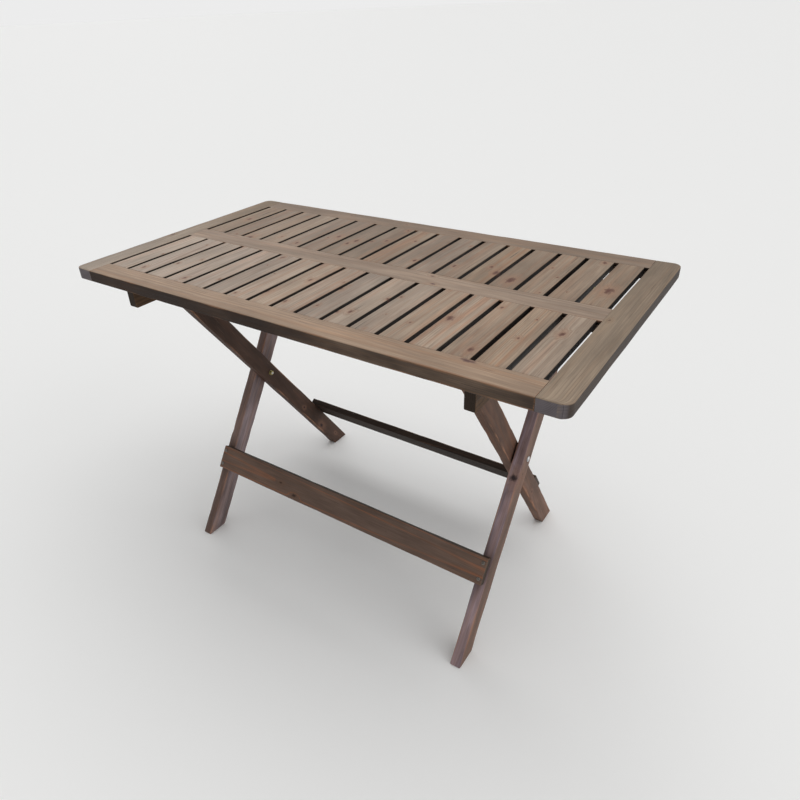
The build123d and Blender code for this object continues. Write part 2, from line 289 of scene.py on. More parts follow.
# ---- boards ----
KNOCKS = 5
KNOCK_DEPTH = 1.1
RIPPLE = 0.10 * MM
RIPPLE_WAVES = 5
RIPPLE_REACH = 30 * MM
RUB_WAVES = 6
RUB_REACH = 22 * MM
RUB_GAIN = 1.5
RUB_BASE = 0.35
LEAST_ARRIS = 0.35
SAWN_PITH = ((-0.02, 0.012), (0.02, 0.045))
SAWN_SLOPE = 0.012
DRIFT = 40
KNOT_SIZES = (1.5, 4.5)
KNOT_REACH = 0.9
KNOT_SHAPE = np.array((1.6, 1.0, 6.0))


def tone(light=0.5, grey=0.5, red=0.5, spread=0.2):
    """A board's lightness, greyness and redness, spread at random about the given ones, which for some boards
    carry painted light and shade.
    """
    return np.array((light, grey, red)) + CHANCE.uniform(-spread, spread, 3)


def board(
    node, material, origin, axes, outline, path, tone_and_light,
    wear=0.5, reform=None, run=0, lit_side=None, pith=None, slope=None, knot=None, crossing=None, light_gain=0.0,
):
    """A board in place of a CAD node: its section carried along a straight path.

    A point of the board is origin + a A + b B + c C: a is a station of the path, and b and c come from the
    section, drawn in at the ends. The surface then moves in along its normal by a ripple, by the wear of its
    arrises and by small knocks, and reform gives it any end shape. The grain runs along axis number run, and
    its rings lie round a pith that passes the board's middle at pith and slants by slope.
    Marks kept on the mesh: grain, the place measured from the pith; knot, the place measured from the board's
    main knot in knot radii; board, its lightness, greyness and redness, from one end's to the other's, partly
    its own tone and partly painted light and shade; arris, nearness to a worn edge; the light mark, how
    squarely the face looks up, or to the side given, which stands for sun-greying and painted light in one,
    rising by the given gain of what is left towards the far end as a painted brightening; cut, how squarely
    it crosses the grain, or crossing(places) where that is more.
    """
    normal, worn = outline.normals, outline.worn
    along, inset = path
    rings, around = len(along), len(normal)
    ease = inset.max() / (1 + END_RING)
    turned_over = np.clip(inset / ease, 0, 1)[:, None]
    lengthwise = np.broadcast_to(along[:, None], (rings, around))
    places = np.concatenate((lengthwise[..., None], outline.drawn_in(inset)), -1)
    end_side = np.where(along < along.mean(), -1.0, 1.0)[:, None] * turned_over
    outward = np.concatenate((
        np.broadcast_to(end_side, (rings, around))[..., None],
        normal[None] * (1 - turned_over[..., None]),
    ), -1)
    from_end = np.minimum(along - along.min(), along.max() - along)
    at_arris = np.maximum(worn[None], np.exp(-from_end / ARRIS_FADE)[:, None])
    at_arris = at_arris * (inset < END_EDGE * ease)[:, None]
    rubbed = np.clip(RUB_GAIN * ripple(places, RUB_WAVES, RUB_REACH) + RUB_BASE, 0, 1)
    inward = RIPPLE * ripple(places, RIPPLE_WAVES, RIPPLE_REACH) + wear * MM * rubbed * worn[None] ** 2
    inward = inward + knocks(places, worn[None], along, KNOCKS, KNOCK_DEPTH * wear * MM)
    sawn_pith = CHANCE.uniform(*SAWN_PITH) * (1, np.sign(CHANCE.normal()))
    sawn_slope = CHANCE.uniform(-SAWN_SLOPE, SAWN_SLOPE, 2)
    drift = CHANCE.uniform(0, DRIFT)
    half = abs(places).max((0, 1))
    knot_radii = np.roll(CHANCE.uniform(*KNOT_SIZES) * MM * KNOT_SHAPE, run)
    knot_spot = CHANCE.uniform(-KNOT_REACH, KNOT_REACH, 3) * half
    if knot is not None:
        knot_spot, knot_radii = np.array(knot[0]) * half, np.array(knot[1]) * MM
    from_knot = np.roll((places - knot_spot) / knot_radii, -run, -1)
    further = smooth_step((along - along.min()) / (along.max() - along.min()))[:, None]
    first_tone, last_tone = tone_and_light if np.ndim(tone_and_light) == 2 else (tone_and_light, tone_and_light)
    tones = first_tone + further * (np.array(last_tone) - first_tone)
    cut = abs(outward[..., run])
    if crossing is not None:
        cut = np.maximum(cut, crossing(places))
    grain = np.roll(places, -run, -1).copy()
    grain[..., 1:] += sawn_pith if pith is None else pith
    grain[..., 1:] += (sawn_slope if slope is None else slope) * grain[..., :1]
    grain[..., 0] += drift
    places[..., 1:] -= (inward * (1 - turned_over))[..., None] * normal[None]
    if reform is not None:
        places = reform(places)
    axes = np.stack(axes)
    # Painted light and shade, with sun-greying: faces turned up, or to the given side, take the pale colour
    # and the rest take the deep one as painted shade. The gain paints a brightening towards the far end.
    lightward = axes[:, 2] if lit_side is None else np.array(lit_side)
    sunlit = np.clip(outward @ lightward, 0, 1)
    sunlit = sunlit + light_gain * further * (1 - sunlit)
    marks = {
        "grain": grain,
        "knot": from_knot,
        "board": np.repeat(tones, around, 0),
        "arris": at_arris * (LEAST_ARRIS + (1 - LEAST_ARRIS) * rubbed),
        "sunlit": sunlit,
        "cut": cut,
    }
    return make_piece(f"{node}_timber", [shell(origin + places @ axes)], material, marks)


def smooth_step(value):
    """Rise from 0 to 1 with level ends: three times the square less twice the cube."""
    value = np.clip(value, 0, 1)
    return value * value * (3 - 2 * value)


# ---- table top ----
RAIL_EASE = 1.6 * MM
JOINT_EASE = 0.45 * MM
GROOVE_LIP = 0.3 * MM
SLAT_EASE = 1.1 * MM
SLAT_LOW_EASE = 0.3 * MM
SHOULDER_EASE = 0.8 * MM
HAIR = 0.02 * MM
ACROSS_Y = (X_AXIS, Y_AXIS, Z_AXIS)
ACROSS_X = (Y_AXIS, -X_AXIS, Z_AXIS)


def end_board(side, material, own):
    """End board: its two outer corners follow quarter circles in plan.

    At distance d from an end the outer edge stands in by R less the root of R squared less (R - d) squared.
    """
    node = f"end_board_{side}"
    width, length, thick = high(node) - low(node)
    outer = -1 if side == "right" else 1
    turn = np.linspace(0, np.pi / 2, 9)[2:]
    near = CORNER_R * (1 - np.cos(turn))
    extra = np.concatenate((near - length / 2, length / 2 - near))
    path = stations(-length / 2, length / 2, RAIL_EASE, extra)

    def round_corners(places):
        from_end = np.clip(length / 2 - abs(places[..., 0]), 0, CORNER_R)
        stand_in = CORNER_R - np.sqrt(np.maximum(CORNER_R**2 - (CORNER_R - from_end) ** 2, 0))
        share = (places[..., 1] * outer + width / 2) / width
        places[..., 1] -= outer * stand_in * share
        return places

    b, c = width / 2, thick / 2
    first, second = (RAIL_EASE, JOINT_EASE) if outer < 0 else (JOINT_EASE, RAIL_EASE)
    outline = Section([(-b, -c, first), (b, -c, second), (b, c, second), (-b, c, first)])

    def crossing(places):
        from_end = np.clip(length / 2 - abs(places[..., 0]), 0, CORNER_R)
        return (1 - from_end / CORNER_R) * np.clip(outer * outline.normals[:, 0], 0, 1)

    return board(
        node, material, middle(node), ACROSS_X, outline, path, own,
        wear=0.4, reform=round_corners, crossing=crossing,
    )


def rail(node, material, grooves, own, light_gain, knot=None):
    """Long rail, with a slat groove in one or both of its long edges."""
    length, width, thick = high(node) - low(node)
    b, c = width / 2, thick / 2
    top, bottom, back = c - GROOVE_TOP, c - GROOVE_LOW, b - TONGUE_L
    corners = []
    for hand in (1, -1):
        edge = [(hand * b, -c, RAIL_EASE), (hand * b, c, RAIL_EASE)]
        if hand in grooves:
            groove = [(b, bottom), (back, bottom), (back, top), (b, top)]
            edge[1:1] = [(hand * across, height, GROOVE_LIP) for across, height in groove]
            edge[-1] = (hand * b, c, JOINT_EASE)
        corners += edge[::hand]
    path = stations(-length / 2, length / 2, JOINT_EASE)
    return board(
        node, material, middle(node), ACROSS_Y, Section(corners), path, own, wear=0.35, light_gain=light_gain, knot=knot,
    )


def slat(node, material, own, knot):
    """Slat with a tongue at each end: past the shoulder its section is clipped to the tongue's height."""
    width, length, thick = high(node) - low(node)
    shoulder = length / 2 - TONGUE_L
    ease = SHOULDER_EASE
    ends = np.array((HAIR, -HAIR, -0.3 * ease, -ease)) + shoulder
    path = stations(-length / 2, length / 2, JOINT_EASE, np.concatenate((ends, -ends)))

    def cut_tongues(places):
        reach = abs(places[..., 0]) - shoulder
        tongue = np.clip(places[..., 2], thick / 2 - GROOVE_LOW, thick / 2 - GROOVE_TOP)
        drop = ease - np.sqrt(np.maximum(ease**2 - np.clip(reach + ease, 0, ease) ** 2, 0))
        body = np.minimum(places[..., 2], thick / 2 - drop)
        places[..., 2] = np.where(reach > 0, tongue, body)
        return places

    b, c = width / 2, thick / 2
    outline = Section([
        (-b, -c, SLAT_LOW_EASE), (b, -c, SLAT_LOW_EASE), (b, c, SLAT_EASE), (-b, c, SLAT_EASE),
    ])
    return board(
        node, material, middle(node), ACROSS_X, outline, path, own, wear=0.12, reform=cut_tongues, knot=knot,
    )


# ---- bearers ----
SEAT_EDGE = 0.6 * MM
MOUTH_EDGE = 1.2 * MM
BEARER_EASE = 0.8 * MM
BEARER_SIDE_EASE = 1.3 * MM


def bearer(side, material):
    """Bearer: its side outline, with the sloping seat for the cross bar, carried through its thickness.

    The seat's arc lies about the bar's axis, between a steep line and a sloping one that both touch it. Two
    lines that touch a circle of radius R at unit normals m and n meet at R (m + n) / (1 + m . n) from its
    centre.
    """
    node = f"bearer_{side}"
    centre = middle(node)
    thick, length, depth = high(node) - low(node)
    b, c = length / 2, depth / 2
    bar = (BAR - centre)[1:]
    steep = np.array((-np.cos(SEAT_LEAN), np.sin(SEAT_LEAN)))
    sloping = np.array((np.sin(SEAT_SLOPE), np.cos(SEAT_SLOPE)))
    corner = bar + SEAT_R * (steep + sloping) / (1 + steep @ sloping)
    start = bar + SEAT_R * steep
    left = start[0] - (start[1] + c) * np.tan(SEAT_LEAN)
    touch = bar + SEAT_R * sloping
    mouth = touch[0] + (touch[1] + c) / np.tan(SEAT_SLOPE)
    outline = Section([
        (-b, -c, BEARER_CORNER_R),
        (left, -c, SEAT_EDGE),
        (*corner, SEAT_R),
        (mouth, -c, MOUTH_EDGE),
        (b, -c, BEARER_CORNER_R),
        (b, c, BEARER_EASE),
        (-b, c, BEARER_EASE),
    ])
    path = stations(-thick / 2, thick / 2, BEARER_SIDE_EASE)
    own = tone(0.6, 0.3, 0.5, 0.08)
    return board(node, material, centre, ACROSS_Y, outline, path, own, wear=0.4, run=1)


# ---- legs ----
LEG_END_EASE = 1.4 * MM
NARROWEST = 0.992
TOP_TURNS = np.linspace(0.14, np.pi / 2, 10)
STRETCHER_EASE = 1.6 * MM
STRETCHER_END_EASE = 1.0 * MM
BAR_END_EASE = 1.5 * MM


def leg(node, material, up, front, top_point, own, slope, knot, lit_side):
    """Leg: foot cut level with the floor, and a round upper end about the point it turns on.

    Near the foot each place slides along the leg by its distance across times the slope of the cut. Near the
    top, at distance d from the end, the width is the chord of the end circle there.
    """
    centre = PIVOT * (Y_AXIS + Z_AXIS) + middle(node) * X_AXIS
    thick = (high(node) - low(node))[0]
    radius = LEG_W / 2
    foot = -PIVOT[2] / up[2]
    top = np.linalg.norm((top_point - PIVOT) * (Y_AXIS + Z_AXIS)) + radius
    path = stations(foot, top, LEG_END_EASE, top - radius * (1 - np.cos(TOP_TURNS)))

    def shape_ends(places):
        from_top = np.clip((radius - (top - places[..., 0])) / radius, 0, NARROWEST)
        places[..., 1] *= np.sqrt(1 - from_top**2)
        near_foot = smooth_step(1 - (places[..., 0] - foot) / FOOT_BLEND)
        places[..., 0] -= places[..., 1] * front[2] / up[2] * near_foot
        return places

    outline = bar_section(LEG_W, thick, LEG_EASE)
    axes = (up, front, X_AXIS)
    return board(
        node, material, centre, axes, outline, path, own,
        wear=0.8, reform=shape_ends, lit_side=lit_side, slope=slope, knot=knot,
    )


def stretcher(node, material, normal, own, pith, slope):
    """Flat board across a pair of legs, sawn flat, so that its rings meet the face in long pointed arches."""
    length = (high(node) - low(node))[0]
    outline = bar_section(STRETCHER_W, STRETCHER_T, STRETCHER_EASE)
    path = stations(-length / 2, length / 2, STRETCHER_END_EASE)
    axes = (X_AXIS, np.cross(normal, X_AXIS), normal)
    # The lit side is the board's outer face, so its narrow edges, the top one under the table too, take the
    # deep colour as painted shade.
    return board(
        node, material, middle(node), axes, outline, path, own,
        wear=0.5, lit_side=(0, 0, 1), pith=pith, slope=slope,
    )


def cross_bar(material):
    """Turned bar: a circle carried along X, with its ends eased."""
    node = "inner_cross_bar"
    length, diameter, _ = high(node) - low(node)
    radius = diameter / 2
    flat = 0.01 * MM
    outline = bar_section(diameter, diameter, radius - flat)
    outline.worn = np.zeros(len(outline.worn))
    path = stations(-length / 2, length / 2, BAR_END_EASE)
    own = tone(0.45, 0.4, 0.4, 0.1)
    return board(node, material, middle(node), ACROSS_Y, outline, path, own, wear=0.3)


# ---- fasteners ----
SIDES = 36
INSIDE = 0.4 * MM
TIP_R = 0.05 * MM
SHANK_R = 2 * MM
POINT_L = 6 * MM
THREAD_PITCH = 1.0 * MM
THREAD_DEPTH = 0.22 * MM
NUT_CHAMFER = 0.5 * MM
BORE_CHAMFER = 0.3 * MM
MIRROR = np.array((-1, 1, 1))


def square_to(axis):
    """Two unit vectors square to an axis, so that the three make a right-handed set."""
    helper = Z_AXIS if abs(axis[2]) < 0.9 else X_AXIS
    first = np.cross(helper, axis)
    first = first / np.linalg.norm(first)
    return first, np.cross(axis, first)


def turned(place, axis, profile, ring_shaped=False, limit=None, lift=None):
    """Turned piece: a profile of (radius, height) swept about an axis.

    limit(angle) caps the radius at each angle, and lift(radius, angle) is added to the height.
    """
    first, second = square_to(axis)
    radius, height = np.array(profile, float).T
    angle = np.linspace(0, 2 * np.pi, SIDES, endpoint=False)[None]
    radius = np.broadcast_to(radius[:, None], (len(radius), SIDES))
    height = np.broadcast_to(height[:, None], radius.shape)
    if limit is not None:
        radius = np.minimum(radius, limit(angle))
    if lift is not None:
        height = height + lift(radius, angle)
    out = radius * np.cos(angle), radius * np.sin(angle)
    points = place + out[0][..., None] * first + out[1][..., None] * second + height[..., None] * axis
    return shell(points, ring_shaped)


def dome(radius, rise, rings=9):
    """Profile of a low dome, from its rim to its crown.

    A quarter of the rise is a straight rim, and the rest follows the root of one less the square of r / R.
    """
    share = np.linspace(1, 0.02, rings)
    return [(radius * part, rise * (0.25 + 0.75 * np.sqrt(max(1 - part**2, 0)))) for part in share]


def cross_recess(size, depth):
    """Lift that sinks a cross into a screw head: deep along two arms, with sloping walls."""

    def lift(radius, angle):
        x, y = abs(radius * np.cos(angle)), abs(radius * np.sin(angle))
        arms = [
            smooth_step((0.22 * size - beside) / (0.09 * size)) * smooth_step((size - out) / (0.35 * size))
            for out, beside in ((x, y), (y, x))
        ]
        return -depth * np.maximum(*arms)

    return lift


def screw(place, axis, head_r, rise, length):
    """Domed screw with a cross recess, its shank and point in the wood."""
    below = [(TIP_R, -length), (INSIDE, -length), (SHANK_R, POINT_L - length), (SHANK_R, -INSIDE)]
    below += [(head_r * 0.96, -INSIDE), (head_r, 0)]
    crown = dome(head_r * 0.985, rise, 16)
    head_only = np.concatenate((np.zeros(len(below)), np.ones(len(crown))))[:, None]
    recess = cross_recess(0.52 * head_r, 0.55 * rise)

    def lift(radius, angle):
        return recess(radius, angle) * head_only

    return turned(place, axis, below + crown, lift=lift)


def hexagon(across_flats):
    """Limit of a hexagon: half its width over the cosine of the angle from the nearest flat's middle."""

    def limit(angle):
        return across_flats / 2 / np.cos((angle + np.pi / 6) % (np.pi / 3) - np.pi / 6)

    return limit


def nut(place, axis, across_flats, height):
    """Hexagon nut with both faces chamfered to a circle."""
    face = across_flats / 2 * 0.97
    corner = across_flats * 0.6
    bore = BOLT_R + BORE_CHAMFER
    profile = [
        (BOLT_R, BORE_CHAMFER), (bore, 0), (face, 0), (corner, NUT_CHAMFER),
        (corner, height - NUT_CHAMFER), (face, height), (bore, height), (BOLT_R, height - BORE_CHAMFER),
    ]
    return turned(place, axis, profile, True, hexagon(across_flats))


def washer(place, axis, radius, thick):
    """Flat ring with eased edges."""
    ease = 0.2 * thick
    bore = BOLT_R + ease
    profile = [
        (BOLT_R, ease), (bore, 0), (radius - ease, 0), (radius, ease),
        (radius, thick - ease), (radius - ease, thick), (bore, thick), (BOLT_R, thick - ease),
    ]
    return turned(place, axis, profile, True)


def bolt(place, axis, head_r, rise, length, thread):
    """Bolt under a domed head at place, facing axis: its last stretch carries a thread.

    The thread's radius is a cosine of height over pitch less the angle round the bolt.
    """
    shank_r = BOLT_R - 0.02 * MM
    rungs = np.arange(-length, -length + thread, THREAD_PITCH / 5)
    first = [(TIP_R, -length), (BOLT_R - 0.7 * MM, -length)]
    rest = [(shank_r, thread - length), (shank_r, 0), (head_r * 0.97, 0)] + dome(head_r, rise, 12)
    profile = first + [(BOLT_R, rung + INSIDE) for rung in rungs[:-2]] + rest
    heights = np.array(profile)[:, 1][:, None]
    threaded = np.zeros(heights.shape)
    threaded[len(first):-len(rest)] = 1

    def limit(angle):
        wave = 0.5 - 0.5 * np.cos(2 * np.pi * heights / THREAD_PITCH - angle)
        return np.where(threaded > 0, BOLT_R - 0.03 * MM - THREAD_DEPTH * wave, 1.0)

    return turned(place, axis, profile, limit=limit)


def both_sides(make, place, *sizes, facing=X_AXIS):
    """The same fastener on the right of the table, facing this way, and mirrored on the left."""
    return [make(place, facing, *sizes), make(place * MIRROR, -facing, *sizes)]


# Sizes of the fasteners: head radius, rise and length, and for a bolt its thread's length
STRETCHER_SCREW = (4 * MM, 2.2 * MM, 36 * MM)
BEARER_SCREW = (3.9 * MM, 0.7 * MM, 50 * MM)
PIVOT_BOLT = (6.2 * MM, 3.4 * MM, 59 * MM, 6 * MM)
HINGE_BOLT = (7 * MM, 0.9 * MM, 54 * MM, 8 * MM)
# Across its flats and height, or radius and thickness
NUT = (10 * MM, NUT_T)
NUT_WASHER = (6 * MM, WASHER_T)
PIVOT_SPACER = (9 * MM, 3 * MM)
HINGE_SPACER = (9 * MM, 2 * MM)


def stretcher_screws(node, board_node, normal, material):
    """Two screws in each end of a stretcher, on its outer face."""
    half = (high(board_node) - low(board_node))[0] / 2 - SCREW_INSET
    face = middle(board_node) + normal * STRETCHER_T / 2
    along = np.cross(normal, X_AXIS)
    shells = [
        screw(face + end * half * X_AXIS + row * SCREW_SPREAD * along, normal, *STRETCHER_SCREW)
        for end in (-1, 1)
        for row in (-1, 1)
    ]
    return make_piece(f"{node}_steel", shells, material)


# ---- shader helpers ----
def colour(red, green, blue):
    """Linear colour, with alpha, from display values of 0 to 255."""
    display = np.array((red, green, blue)) / 255
    linear = np.where(display <= 0.04045, display / 12.92, ((display + 0.055) / 1.055) ** 2.4)
    return (*linear.tolist(), 1.0)


class Net:
    """Short forms for laying out the nodes of one tree."""

    def __init__(self, tree):
        self.tree = tree

    def add(self, kind, feeds=None, **settings):
        """A node with its settings and inputs: a socket is linked, and anything else is set as a value."""
        made = self.tree.nodes.new(kind)
        for name, value in settings.items():
            setattr(made, name, value)
        for name, value in (feeds or {}).items():
            if isinstance(value, bpy.types.NodeSocket):
                self.tree.links.new(value, made.inputs[name])
            else:
                made.inputs[name].default_value = value
        return made

    def math(self, operation, first, second=0.0, third=0.0):
        feeds = {0: first, 1: second, 2: third}
        return self.add("ShaderNodeMath", feeds, operation=operation).outputs[0]

    def times(self, first, second):
        return self.math("MULTIPLY", first, second)

    def span(self, value, start, end, low_out=0.0, high_out=1.0):
        """Smooth rise from low_out at start to high_out at end."""
        feeds = {0: value, 1: start, 2: end, 3: low_out, 4: high_out}
        return self.add("ShaderNodeMapRange", feeds, interpolation_type="SMOOTHSTEP").outputs[0]

    def scaled(self, vector, by):
        return self.add("ShaderNodeVectorMath", {0: vector, 1: by}, operation="MULTIPLY").outputs[0]

    def noise(self, vector, by, detail=2.0, roughness=0.5):
        feeds = {"Vector": self.scaled(vector, by), "Scale": 1.0, "Detail": detail, "Roughness": roughness}
        return self.add("ShaderNodeTexNoise", feeds).outputs["Fac"]

    def mix(self, share, first, second, blend="MIX"):
        made = self.add("ShaderNodeMix", {0: share, 6: first, 7: second}, data_type="RGBA", blend_type=blend)
        return made.outputs[2]

    def mark(self, name, output="Fac"):
        return self.add("ShaderNodeAttribute", attribute_name=name).outputs[output]


def new_material(name):
    """A material, the short forms for its tree, and its shader."""
    material = bpy.data.materials.new(name)
    material.use_nodes = True
    return material, Net(material.node_tree), material.node_tree.nodes["Principled BSDF"]


def feed_shader(net, shader, group, strength, distance):
    """A group's colour, roughness and relief on a shader."""
    relief = {"Height": group.outputs["Height"], "Strength": strength, "Distance": distance}
    bump = net.add("ShaderNodeBump", relief)
    net.tree.links.new(group.outputs["Color"], shader.inputs["Base Color"])
    net.tree.links.new(group.outputs["Roughness"], shader.inputs["Roughness"])
    net.tree.links.new(bump.outputs[0], shader.inputs["Normal"])


SOCKETS = {"value": "NodeSocketFloat", "vector": "NodeSocketVector", "colour": "NodeSocketColor"}


def node_group(name, inputs, outputs, lay_out):
    """Shader node group: inputs are {name: value}, outputs {name: kind}, and lay_out links them."""
    tree = bpy.data.node_groups.new(name, "ShaderNodeTree")
    for label, value in inputs.items():
        kind = "value" if isinstance(value, float) else ("vector" if len(value) == 3 else "colour")
        socket = tree.interface.new_socket(label, in_out="INPUT", socket_type=SOCKETS[kind])
        socket.default_value = value
    for label, kind in outputs.items():
        tree.interface.new_socket(label, in_out="OUTPUT", socket_type=SOCKETS[kind])
    net = Net(tree)
    given = net.add("NodeGroupInput").outputs
    results = lay_out(net, given)
    net.add("NodeGroupOutput", results)
    return tree


# ---- timber ----
RING_PITCH = 3.4 * MM
KNOT_CELL = (1 / 0.085, 1 / 0.047, 0.0)
FIGURE_MARKS = ("Late", "Fibre", "Stain", "Streak", "Split", "Knot", "Heart", "Halo")
# How often a noise changes in a metre, along the grain and across it
RAGGED = (230.0, 230.0, 60.0)
RIM = (90.0, 170.0, 170.0)
WAVER = (3.2, 20.0, 20.0)
UNEVEN = (4.0, 30.0, 30.0)
FIBRES = (14.0, 720.0, 720.0)
STAINS = (5.5, 24.0, 24.0)
STREAKS = (2.2, 95.0, 95.0)
CHECKS = (9.0, 420.0, 420.0)


def lay_out_figure(net, given):
    """Growth rings about the pith, knots that push them aside, fine fibres and broad stains."""
    grain = given["Grain"]
    cells = net.add("ShaderNodeTexVoronoi", {
        "Vector": net.scaled(grain, KNOT_CELL), "Scale": 1.0, "Randomness": 0.9,
    }, voronoi_dimensions="2D")
    chosen = net.add("ShaderNodeSeparateColor", {0: cells.outputs["Color"]}).outputs
    present = net.math("LESS_THAN", chosen[0], given["Knots"])
    size = net.math("MULTIPLY_ADD", net.times(chosen[1], chosen[1]), 0.13, 0.022)
    ragged = net.math("MULTIPLY_ADD", net.noise(grain, RAGGED, 3.0), 0.12, -0.06)
    off = net.math("ADD", cells.outputs["Distance"], ragged)
    beyond = net.math("DIVIDE", off, size)
    pin = net.times(net.span(beyond, 1.3, 0.5), present)
    pin_halo = net.times(net.span(beyond, 3.8, 0.8), present)
    spot = net.add("ShaderNodeVectorMath", {0: given["Knot Spot"]}, operation="LENGTH").outputs["Value"]
    rim = net.math("MULTIPLY_ADD", net.noise(grain, RIM, 3.0), 2.2, -1.1)
    spot = net.math("ADD", spot, rim)
    knot = net.math("MAXIMUM", pin, net.span(spot, 1.3, 0.6))
    core = net.times(net.span(beyond, 0.75, 0.2), present)
    heart = net.math("MAXIMUM", core, net.span(spot, 0.8, 0.2))
    halo = net.math("MAXIMUM", pin_halo, net.span(spot, 3.6, 0.9))

    apart = net.add("ShaderNodeSeparateXYZ", {0: grain}).outputs
    across = net.times(apart[1], apart[1])
    deep = net.times(apart[2], apart[2])
    from_pith = net.math("SQRT", net.math("ADD", across, deep))
    waver = net.math("SUBTRACT", net.noise(grain, WAVER), 0.5)
    waver = net.times(waver, given["Waver"])
    bent = net.math("ADD", net.math("ADD", from_pith, waver), net.times(halo, 0.006))
    ring = net.math("FRACT", net.math("DIVIDE", bent, given["Ring Pitch"]))
    late = net.times(net.span(ring, given["Line Start"], 0.9), net.span(ring, 1.0, 0.92))
    uneven = net.noise(grain, UNEVEN)
    late = net.times(late, net.span(uneven, 0.3, 0.62, 0.25, 1.0))

    fibre = net.noise(grain, FIBRES, 3.0, 0.6)
    stain = net.noise(grain, STAINS, 3.0, 0.6)
    streak = net.noise(grain, STREAKS)
    split = net.span(net.noise(grain, CHECKS), 0.30, 0.235)
    return {
        "Late": late, "Fibre": fibre, "Stain": stain, "Streak": streak, "Split": split,
        "Knot": knot, "Heart": heart, "Halo": halo,
    }


FIGURE = node_group(
    "timber_figure",
    {
        "Grain": (0.0, 0.0, 0.0),
        "Knot Spot": (9.0, 9.0, 9.0),
        "Ring Pitch": RING_PITCH,
        "Line Start": 0.35,
        "Waver": 0.006,
        "Knots": 0.3,
    },
    {label: "value" for label in FIGURE_MARKS},
    lay_out_figure,
)


def lay_out_ageing_and_light(net, given):
    """Stained wood, greyed by the sun and painted light on faces turned to the light and painted shade on the
    rest, and rubbed by hands along its arrises.
    """
    reach = net.math("MULTIPLY_ADD", given["Stain"], 0.7, -0.35)
    # Painted light and shade, with sun-greying: faces turned to the light take Pale, and the rest take Deep
    # as painted shade, broken up by stains.
    bleach_and_light = net.math("ADD", net.times(given["Sunlit"], 1.25), reach)
    bleach_and_light = net.span(bleach_and_light, 0.0, 1.0)
    body = net.mix(bleach_and_light, given["Deep"], given["Pale"])

    own = net.add("ShaderNodeSeparateXYZ", {0: given["Board"]}).outputs
    warm = net.times(net.span(given["Streak"], 0.42, 0.68), net.span(own[2], 0.1, 0.9, 0.1, 0.8))
    warm_body = net.mix(bleach_and_light, given["Warm"], given["Warm Pale"])
    body = net.mix(warm, body, warm_body)
    saturation = net.span(own[1], 0.0, 1.0, 1.22, 0.78)
    blotches = net.math("MULTIPLY_ADD", net.span(given["Stain"], 0.25, 0.75, -1.0, 1.0), given["Blotch"], 1.0)
    value = net.times(net.math("MULTIPLY_ADD", own[0], 0.64, 0.66), blotches)
    body = net.add("ShaderNodeHueSaturation", {
        "Saturation": saturation, "Value": value, "Color": body,
    }).outputs[0]

    line = net.mix(bleach_and_light, given["Line"], given["Line Pale"])
    body = net.mix(net.times(given["Late"], given["Contrast"]), body, line)
    fine = net.span(given["Fibre"], 0.25, 0.75, 0.80, 1.18)
    fine = net.add("ShaderNodeCombineColor", {0: fine, 1: fine, 2: fine}).outputs[0]
    body = net.mix(1.0, body, fine, "MULTIPLY")

    body = net.mix(net.times(given["Halo"], 0.5), body, warm_body)
    inside = net.math("MULTIPLY_ADD", given["Knot"], 0.62, net.times(given["Heart"], 0.3))
    body = net.mix(inside, body, given["Knot Colour"])

    ends = net.span(given["Cut"], 0.55, 0.95)
    end_grain = net.mix(net.times(given["Late"], 0.4), given["End"], given["Line"])
    body = net.mix(net.times(ends, 0.85), body, end_grain)
    patchy = net.times(given["Arris"], net.span(given["Fibre"], 0.3, 0.6, 0.35, 1.0))
    rubbed = net.times(net.span(patchy, 0.35, 0.9), given["Rub"])
    body = net.mix(rubbed, body, given["Worn"])
    body = net.mix(net.times(given["Split"], 0.75), body, given["Deep"])

    rough = net.span(given["Fibre"], 0.2, 0.8, 0.58, 0.78)
    rough = net.math("SUBTRACT", rough, net.times(rubbed, 0.12))
    relief = net.times(given["Fibre"], 0.45)
    relief = net.math("ADD", relief, net.times(given["Late"], 0.35))
    relief = net.math("ADD", relief, net.times(given["Knot"], 0.3))
    relief = net.math("SUBTRACT", relief, net.times(given["Split"], 0.8))
    return {"Color": body, "Roughness": rough, "Height": relief}


GREY = (0.2, 0.2, 0.2, 1.0)
COLOURS = ("Deep", "Pale", "Warm", "Warm Pale", "Line", "Line Pale", "Knot Colour", "End", "Worn")
AGEING_AND_LIGHT = node_group(
    "timber_ageing_and_light",
    {
        **{label: 0.0 for label in FIGURE_MARKS + ("Sunlit", "Cut", "Arris")},
        "Board": (0.5, 0.5, 0.5),
        "Contrast": 0.5,
        "Rub": 0.8,
        "Blotch": 0.2,
        **{label: GREY for label in COLOURS},
    },
    {"Color": "colour", "Roughness": "value", "Height": "value"},
    lay_out_ageing_and_light,
)


def timber(
    name, palette, pitch=RING_PITCH, start=0.35, waver=0.006, knots=0.3,
    contrast=0.5, rub=0.8, blotch=0.2, sheen=0.22, marked=True,
):
    """Worn timber: its figure, aged and given painted light and shade with this palette, on a board's marks
    or on Object coordinates.
    """
    material, net, shader = new_material(name)
    if marked:
        figure_place = {"Grain": net.mark("grain", "Vector"), "Knot Spot": net.mark("knot", "Vector")}
        face = {mark.title(): net.mark(mark) for mark in ("sunlit", "cut", "arris")}
        face["Board"] = net.mark("board", "Vector")
    else:
        figure_place = {"Grain": net.add("ShaderNodeTexCoord").outputs["Object"]}
        face = {}
    figure = net.add("ShaderNodeGroup", {
        **figure_place, "Ring Pitch": pitch, "Line Start": start, "Waver": waver, "Knots": knots,
    }, node_tree=FIGURE)
    aged_and_lit = net.add("ShaderNodeGroup", {
        **{label: figure.outputs[label] for label in FIGURE_MARKS},
        **{label: colour(*shade) for label, shade in zip(COLOURS, palette)},
        **face, "Contrast": contrast, "Rub": rub, "Blotch": blotch,
    }, node_tree=AGEING_AND_LIGHT)
    feed_shader(net, shader, aged_and_lit, 0.8, 0.6 * MM)
    shader.inputs["Specular IOR Level"].default_value = sheen
    return material
